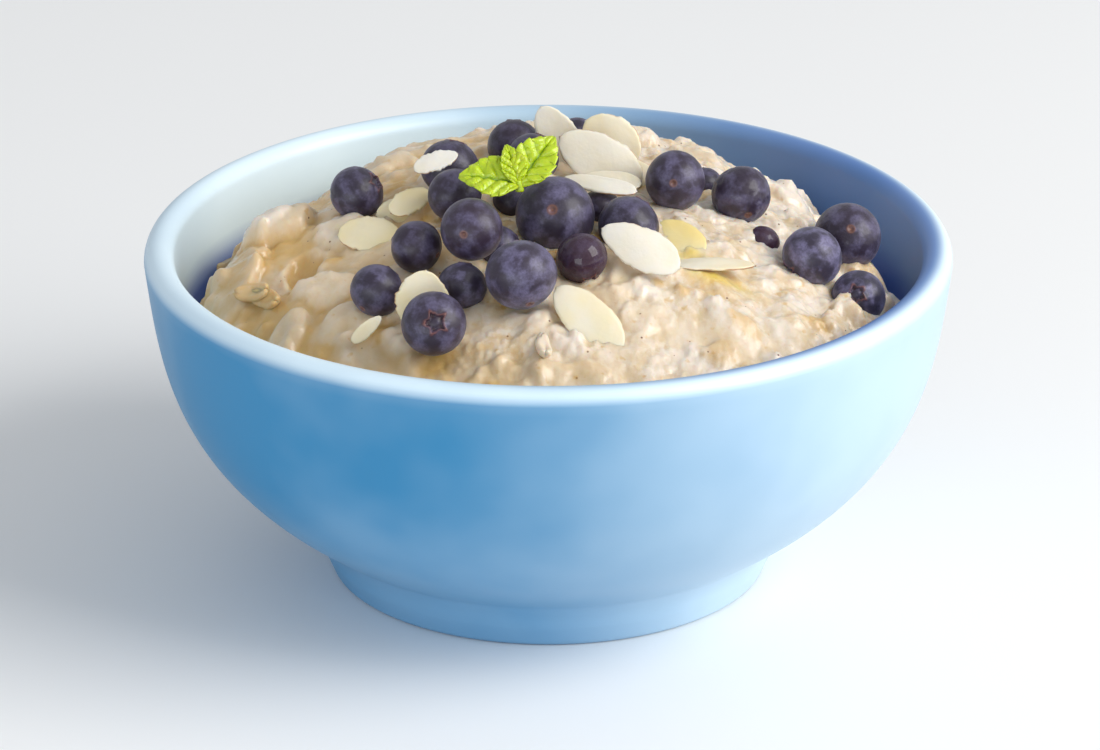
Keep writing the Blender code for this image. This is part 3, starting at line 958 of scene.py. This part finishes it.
def berry_shell(radius, seed, pits):
    """Points, faces and marks of a berry with a star-shaped crown at +Z and a stem scar at -Z."""
    turns = BERRY_TURNS
    # Rings from the crown to the scar, closer together over both.
    falls = np.concatenate(
        [
            np.radians(np.linspace(1.0, 32, 26)),
            np.radians(np.linspace(34, 160, 34)),
            np.radians(np.linspace(162.5, 179.2, 10)),
        ]
    )
    rng = np.random.default_rng(seed)
    fall = falls[:, None]
    turn = np.linspace(0, 2 * math.pi, turns, endpoint=False)[None, :]
    out = np.sin(fall) + 0 * turn
    up = BERRY_SQUASH * np.cos(fall) + 0 * turn
    phase = rng.random() * 2 * math.pi
    point = 1 - np.abs(np.sin(2.5 * turn + phase))
    ragged = 1 + 0.05 * np.sin(9 * turn + phase * 3) + 0.04 * np.sin(14 * turn + phase)
    star = (CROWN_STAR + CROWN_POINTS * point) * ragged
    front = np.clip(np.cos(fall) * 4, 0, 1)
    share_in = out / star
    floor = 1 - 1 / (1 + np.exp(-(share_in - 0.86) / 0.06))
    lip = np.exp(-(((share_in - 1.04) / 0.16) ** 2)) * (0.45 + 0.55 * point)
    disc = np.exp(-((out / 0.16) ** 4))
    up = up + front * (-0.10 * floor + 0.05 * lip + 0.05 * disc)
    scar_out = out / SCAR_RADIUS
    behind = np.clip(-np.cos(fall) * 4, 0, 1)
    hollow = np.exp(-(scar_out**2) * 1.3)
    ring = np.exp(-(((scar_out - 1.25) / 0.35) ** 2))
    up = up + behind * (0.05 * hollow - 0.012 * ring)
    points = np.stack([out * np.cos(turn), out * np.sin(turn), up], axis=2).reshape(-1, 3)
    swell = np.empty(len(points))
    worn = np.empty(len(points))
    shift = Vector(rng.random(3) * 50)
    for number, spot in enumerate(points):
        here = Vector(spot)
        swell[number] = 0.020 * noise.noise(here * 1.3 + shift)
        dent = max(noise.noise(here * 4.2 + shift) - 0.12, 0)
        swell[number] -= 0.10 * pits * dent + 0.004 * noise.noise(here * 9 + shift)
        worn[number] = noise.fractal(here * 2.2 + shift, 1.0, 2.0, 4)
    points = points * (1 + swell[:, None]) * radius
    crown = (front * np.clip(lip * 0.75, 0, 1)).ravel()
    pit = np.exp(-(((out - 0.21) / 0.05) ** 2)) * np.clip(point * 1.6 - 0.3, 0, 1)
    deep = np.clip(front * (pit + 0.35 * floor * (1 - disc)), 0, 1).ravel()
    stem = (behind * np.clip(hollow * 0.9 + ring * 0.6, 0, 1)).ravel()
    faces = capped_rings(len(falls), turns)
    return points, faces, {"worn": worn, "crown": crown, "deep": deep, "stem": stem}


def berry_finish(name, berries, row, seed):
    bloom, redness, _, wetness = row
    material, tree, shader = new_finish(name, berries.roughness)
    place = on_piece(tree)
    worn = on_points(tree, "worn")
    mottle = grain(tree, place, 1.4 * MM, seed, 6, 0.7)
    fine = grain(tree, place, 0.3 * MM, seed + 9, 2)
    haze = between(tree, worn, -0.7, 0.7, 0, 0.62)
    haze = sums(tree, "ADD", haze, between(tree, mottle, 0.3, 0.7, 0, 0.38))
    amount = between(tree, haze, 0.22, 0.95, 0.04 * bloom, 0.14 + 0.80 * bloom)
    amount = sums(tree, "MULTIPLY", amount, between(tree, fine, 0.25, 0.65, 0.55, 1.0))
    skin = [a + redness * b for a, b in zip(berries.skin, (0.030, 0.004, 0.004))]
    base = blended(tree, amount, skin, berries.bloom)
    base = blended(tree, on_points(tree, "crown"), base, berries.scar)
    base = blended(tree, on_points(tree, "deep"), base, (0.03, 0.008, 0.015))
    base = blended(tree, on_points(tree, "stem"), base, (0.20, 0.075, 0.035))
    tint(tree, shader, base)
    emboss(tree, shader, mottle, (0.12 + 0.4 * wetness) * MM)
    shader.inputs["Sheen Weight"].default_value = 0.25 * bloom
    shader.inputs["Sheen Roughness"].default_value = 0.5
    shader.inputs["Sheen Tint"].default_value = (0.75, 0.75, 1.0, 1)
    varnish(shader, 0.2 + 0.3 * wetness, 0.35 - 0.31 * wetness)
    shader.inputs["Specular IOR Level"].default_value = 0.5 - 0.25 * wetness
    return material


def add_blueberry(number, node, row, berries):
    centre, radius, axis = berry_place(node)
    points, faces, marks = berry_shell(radius, number * 13 + 5, row[2])
    spin = axis.to_track_quat("Z", "Y").to_matrix()
    name = f"berry_{number:02d}"
    finish = berry_finish(f"berry_skin_{number:02d}", berries, row, number * 3.7)
    points = points @ np.array(spin).T + np.array(centre)
    return new_piece(name, points, faces, finish, node, "blueberry", marks)


# ---------------------------------------------------------------- almonds


def almond_place(name):
    """Centre, length, width and normal directions, half sizes and bend of a flake's solid."""
    points = np.array([tuple(point.co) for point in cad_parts[name].data.vertices])
    points = np.unique(np.round(points, 7), axis=0)
    middle = points.mean(0)
    _, _, axes = np.linalg.svd(points - middle)
    if np.linalg.det(axes) < 0:
        axes[2] *= -1
    if axes[2][2] < 0:
        axes[2] *= -1
        axes[1] *= -1
    local = (points - middle) @ axes.T
    half = np.abs(local[:, 0]).max()
    wide = np.abs(local[:, 1]).max()
    ahead = np.abs(local[local[:, 0] > TIP_SHARE * half][:, 1]).max()
    behind = np.abs(local[local[:, 0] < -TIP_SHARE * half][:, 1]).max()
    if ahead > behind:
        axes[0] *= -1
        axes[1] *= -1
        local = (points - middle) @ axes.T
    u, v = local[:, 0] / half, local[:, 1] / wide
    terms = np.stack([np.ones_like(u), u * u, v * v, u * v], axis=1)
    bend = np.linalg.lstsq(terms, local[:, 2], rcond=None)[0]
    return middle, axes, half, wide, bend


def almond_finish(name, almonds, row, seed):
    yellowness, _, skinned = row
    material, tree, shader = new_finish(name, 0.45)
    place = on_piece(tree)
    soaked = between(tree, grain(tree, place, 5 * MM, seed, 2), 0.35, 0.7)
    flesh = [a + (b - a) * yellowness * 0.75 for a, b in zip(almonds.cream, almonds.yellow)]
    deep = [a + (b - a) * min(yellowness + 0.15, 1) for a, b in zip(almonds.cream, almonds.yellow)]
    base = blended(tree, soaked, flesh, deep)
    rim = on_points(tree, "rim")
    patchy = between(tree, grain(tree, place, 2.4 * MM, seed + 3, 2), 0.52 - 0.3 * skinned, 0.62)
    edge = sums(tree, "MULTIPLY", between(tree, rim, 0.55, 1.0, 0, 0.9), patchy)
    base = blended(tree, edge, base, almonds.skin)
    tint(tree, shader, base)
    fibre = grain(tree, place, 0.8 * MM, seed + 5, 3)
    emboss(tree, shader, fibre, 0.10 * MM)
    soften(shader, 0.5, (1.0, 0.8, 0.5), 1.2 * MM)
    varnish(shader, 0.15, 0.3)
    return material


def add_almond(number, node, row, almonds):
    middle, axes, half, wide, bend = almond_place(node)
    rng = np.random.default_rng(number * 17)
    rows, columns = ALMOND_GRID
    along = np.linspace(-1, 1, rows)[:, None]
    side = np.linspace(-1, 1, columns)[None, :]
    nibble = row[1]
    phase = rng.random(6) * 6.3
    ragged = np.zeros((rows, 2))
    for wave, size in ((2.2, 0.05), (5, 0.025), (11, 0.022), (23, 0.018), (37, 0.012)):
        ragged[:, 0] += size * np.sin(wave * along[:, 0] + phase[0] * wave)
        ragged[:, 1] += size * np.sin(wave * along[:, 0] + phase[1] * wave)
    ragged = 1 + ragged * nibble * 2.2
    edge = np.where(side < 0, ragged[:, :1], ragged[:, 1:])
    rounded = (1 - np.clip(np.abs(along), 0, 0.999) ** 2.3) ** 0.58
    outline = rounded * (1 - 0.14 * along) / 1.02
    x = half * along * (1 - 0.02 * side**2)
    y = wide * outline * side * edge
    u, v = x / half, y / wide
    z = bend[0] + bend[1] * u**2 + bend[2] * v**2 + bend[3] * u * v
    z = z + 0.12 * MM * np.sin(4 * u + phase[2]) * np.sin(3 * v + phase[3])
    body, faces, rim = shell(np.stack([x + 0 * z, y, z], axis=2), rows, columns, almonds.thickness)
    body = body @ axes + middle
    finish = almond_finish(f"almond_flesh_{number:02d}", almonds, row, number * 2.3)
    return new_piece(f"almond_{number:02d}", body, faces, finish, node, "almond", {"rim": rim})


# ---------------------------------------------------------------- mint


def mint_finish(mint):
    material, tree, shader = new_finish("mint_green", 0.38)
    place = on_piece(tree)
    vein = on_points(tree, "vein")
    patch = between(tree, grain(tree, place, 2.5 * MM, 2, 3), 0.35, 0.7)
    base = blended(tree, patch, mint.light, [0.8 * part for part in mint.light])
    # Dark green in the grooves: painted shade.
    base = blended(tree, between(tree, vein, 0.1, 0.9, 0, 0.7), base, mint.dark)
    tint(tree, shader, base)
    emboss(tree, shader, grain(tree, place, 0.7 * MM, 3, 3), 0.3 * MM)
    soften(shader, 0.4, (0.6, 1.0, 0.2), 0.8 * MM)
    varnish(shader, 0.35, 0.2)
    return material


def mint_leaf(mint, long, wide):
    """One serrated, quilted leaf along +X: points, faces and how much painted shade each point takes in
    the grooves between the bulges and along the midrib.
    """
    rows, columns = LEAF_GRID
    share_along = np.linspace(0, 1, rows)[:, None]
    side = np.linspace(-1, 1, columns)[None, :]
    saw = (share_along * LEAF_TEETH) % 1
    outline = np.sin(math.pi * share_along**0.85) ** 0.8 + 0.10 * (1 - share_along)
    outline = outline * (1 + 0.08 * (saw - 0.5) * np.clip(share_along * 5, 0, 1))
    reach = np.abs(side)
    x = long * (share_along + 0.03 * reach * (saw - 0.5))
    y = wide / 2 * outline * side
    ribs = share_along * 5.0 - 1.3 * reach + 0.3 + 0.08 * np.sin(7 * share_along + 3 * side)
    pillow = np.abs(np.sin(math.pi * ribs)) ** 0.7
    fade = np.clip(share_along * 6, 0, 1) * np.clip((1 - share_along) * 4, 0, 1)
    middle = np.exp(-((side / 0.09) ** 2))
    z = mint.quilting * pillow * fade * (1 - middle) * (1 - 0.4 * reach)
    z = z - 0.25 * MM * middle + 0.9 * MM * reach * fade - 1.4 * MM * share_along**2
    z = z + 0.25 * MM * np.sin(9 * share_along + 2 * side) * reach
    z = z + 0.14 * MM * fade * np.sin(31 * share_along + 5 * side) * np.sin(9 * side + 8 * share_along)
    body, faces, _ = shell(np.stack([x + 0 * z, y, z], axis=2), rows, columns, mint.thickness)
    # Painted shade in the grooves between the bulges and along the sunk midrib.
    lines = np.clip(1 - pillow * 1.5, 0, 1) * 0.6
    vein = np.clip(np.maximum(lines * np.ones_like(side), middle * 0.9), 0, 1).ravel()
    return body, faces, np.concatenate([vein, vein])


def add_mint(mint):
    low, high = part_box("mint_sprig")
    joint = Vector(low[i] + SPRIG_JOINT[i] * (high[i] - low[i]) for i in range(3))
    bodies, groove_shades = [], []
    for long, wide, turn, rise, roll in LEAVES:
        body, quads, vein = mint_leaf(mint, long, wide)
        bodies.append((body @ turned(turn, rise, roll).T + np.array(joint), quads))
        groove_shades.append(vein)
    rings, sides = STEM_GRID
    stem = []
    for ring in range(rings):
        drop = ring / (rings - 1)
        radius = (0.55 + 0.35 * drop) * MM
        bow = 0.3 * MM * math.sin(2 * drop)
        for angle in np.linspace(0, 2 * math.pi, sides, endpoint=False):
            offset = (bow + radius * math.cos(angle), radius * math.sin(angle), (0.8 - 2.1 * drop) * MM)
            stem.append(tuple(joint + Vector(offset)))
    quads = lattice(rings, sides, wrap=True)
    quads.append(tuple(reversed(range(sides))))
    quads.append(tuple(range((rings - 1) * sides, rings * sides)))
    bodies.append((np.array(stem), quads))
    # The stem takes a little of the painted shade.
    groove_shades.append(np.full(len(stem), 0.3))
    values = {"vein": np.concatenate(groove_shades)}
    return new_piece("mint_leaves", *gathered(bodies), mint_finish(mint), "mint_sprig", "mint", values)


# ---------------------------------------------------------------- stage


def add_area_light(name, spot, aim, size, power, tone):
    lamp = bpy.data.lights.new(name, "AREA")
    lamp.shape = "RECTANGLE"
    lamp.size, lamp.size_y = size
    lamp.energy = power
    lamp.color = tone
    light = bpy.data.objects.new(name, lamp)
    light.location = spot
    light.rotation_euler = (Vector(aim) - Vector(spot)).to_track_quat("-Z", "Y").to_euler()
    bpy.context.scene.collection.objects.link(light)


def add_floor(stage):
    half = stage.floor / 2
    mesh = bpy.data.meshes.new("floor")
    corners = [(-half, -half, 0), (half, -half, 0), (half, half, 0), (-half, half, 0)]
    mesh.from_pydata(corners, [], [(0, 1, 2, 3)])
    floor = bpy.data.objects.new("floor", mesh)
    bpy.context.scene.collection.objects.link(floor)
    material, _, _ = new_finish("pale_floor", 0.7, (0.9, 0.9, 0.9))
    mesh.materials.append(material)


def add_camera(stage):
    """Looks down at the bowl from the front."""
    camera = bpy.data.cameras.new("camera")
    camera.sensor_width = 36
    camera.lens = stage.lens
    camera.clip_start, camera.clip_end = 0.05, 30
    view = bpy.data.objects.new("camera", camera)
    back, up = math.cos(stage.rise), math.sin(stage.rise)
    view.location = (stage.aside, -stage.distance * back, RIM_HEIGHT + stage.distance * up)
    forward = Vector((0, math.cos(stage.aim), -math.sin(stage.aim)))
    view.rotation_euler = forward.to_track_quat("-Z", "Y").to_euler()
    bpy.context.scene.collection.objects.link(view)
    bpy.context.scene.camera = view


def set_stage(stage):
    bpy.context.scene.view_settings.view_transform = "Standard"
    add_floor(stage)
    key_spot, fill_spot = (1.10, -0.40, 0.85), (-0.55, -1.15, 0.16)
    add_area_light("key", key_spot, (0, 0, 0.05), (1.0, 1.0), stage.key, (1.0, 0.99, 0.97))
    add_area_light("fill", fill_spot, (0, 0, 0.03), (1.5, 0.3), stage.fill, (0.90, 0.95, 1.0))
    world = bpy.data.worlds.new("studio")
    world.use_nodes = True
    sky = world.node_tree.nodes["Background"]
    sky.inputs["Color"].default_value = (0.94, 0.97, 1.0, 1)
    sky.inputs["Strength"].default_value = stage.sky
    bpy.context.scene.world = world
    add_camera(stage)


# ---------------------------------------------------------------- operators


class PORRIDGE_OT_stage(bpy.types.Operator):
    """Set the floor, the lights and the camera"""

    bl_idname = "porridge.set_stage"
    bl_label = "Set stage"

    def execute(self, context):
        set_stage(settings().stage)
        return {"FINISHED"}


class PORRIDGE_OT_bowl(bpy.types.Operator):
    """Add the glazed bowl"""

    bl_idname = "porridge.add_bowl"
    bl_label = "Glazed bowl"

    def execute(self, context):
        add_glazed_bowl(settings().bowl)
        return {"FINISHED"}


class PORRIDGE_OT_heap(bpy.types.Operator):
    """Add the heaped porridge"""

    bl_idname = "porridge.add_heap"
    bl_label = "Porridge"

    def execute(self, context):
        add_porridge_top(settings().bowl, settings().porridge)
        return {"FINISHED"}


class PORRIDGE_OT_oats(bpy.types.Operator):
    """Add the oat flakes that stand out of the porridge"""

    bl_idname = "porridge.add_oats"
    bl_label = "Standing oats"

    def execute(self, context):
        add_standing_oats(settings().porridge)
        return {"FINISHED"}


class PORRIDGE_OT_berries(bpy.types.Operator):
    """Add the blueberries"""

    bl_idname = "porridge.add_blueberries"
    bl_label = "Blueberries"

    def execute(self, context):
        for number, (node, row) in enumerate(zip(BERRY_NODES, BERRIES), start=1):
            add_blueberry(number, node, row, settings().berries)
        return {"FINISHED"}


class PORRIDGE_OT_almonds(bpy.types.Operator):
    """Add the flaked almonds"""

    bl_idname = "porridge.add_almonds"
    bl_label = "Flaked almonds"

    def execute(self, context):
        for number, (node, row) in enumerate(zip(ALMOND_NODES, ALMONDS), start=1):
            add_almond(number, node, row, settings().almonds)
        return {"FINISHED"}


class PORRIDGE_OT_mint(bpy.types.Operator):
    """Add the sprig of mint"""

    bl_idname = "porridge.add_mint"
    bl_label = "Mint"

    def execute(self, context):
        add_mint(settings().mint)
        return {"FINISHED"}


class PorridgeBowlSettings(bpy.types.PropertyGroup):
    """All settings of the bowl of porridge."""

    bowl: PointerProperty(type=BowlSettings)
    porridge: PointerProperty(type=PorridgeSettings)
    berries: PointerProperty(type=BerrySettings)
    almonds: PointerProperty(type=AlmondSettings)
    mint: PointerProperty(type=MintSettings)
    stage: PointerProperty(type=StageSettings)


OPERATORS = (
    PORRIDGE_OT_stage,
    PORRIDGE_OT_bowl,
    PORRIDGE_OT_heap,
    PORRIDGE_OT_oats,
    PORRIDGE_OT_berries,
    PORRIDGE_OT_almonds,
    PORRIDGE_OT_mint,
)
GROUPS = (
    BowlSettings,
    PorridgeSettings,
    BerrySettings,
    AlmondSettings,
    MintSettings,
    StageSettings,
    PorridgeBowlSettings,
)


class PORRIDGE_PT_panel(bpy.types.Panel):
    """Lists the pieces and their settings"""

    bl_idname = "PORRIDGE_PT_panel"
    bl_label = "Bowl of porridge"
    bl_space_type = "VIEW_3D"
    bl_region_type = "UI"
    bl_category = "Porridge"

    def draw(self, context):
        layout = self.layout
        for operator in OPERATORS:
            layout.operator(operator.bl_idname)
        for group in settings().bl_rna.properties:
            if group.type == "POINTER" and group.identifier != "rna_type":
                box = layout.box()
                box.label(text=group.identifier)
                held = getattr(settings(), group.identifier)
                for item in held.bl_rna.properties:
                    if item.identifier not in ("rna_type", "name"):
                        box.prop(held, item.identifier)


def register():
    for each in (*GROUPS, *OPERATORS, PORRIDGE_PT_panel):
        bpy.utils.register_class(each)
    bpy.types.Scene.porridge_bowl = PointerProperty(type=PorridgeBowlSettings)


def unregister():
    del bpy.types.Scene.porridge_bowl
    for each in reversed((*GROUPS, *OPERATORS, PORRIDGE_PT_panel)):
        bpy.utils.unregister_class(each)


def main():
    register()
    bpy.ops.porridge.set_stage()
    bpy.ops.porridge.add_bowl()
    bpy.ops.porridge.add_heap()
    bpy.ops.porridge.add_oats()
    bpy.ops.porridge.add_blueberries()
    bpy.ops.porridge.add_almonds()
    bpy.ops.porridge.add_mint()


if __name__ == "__main__":
    main()
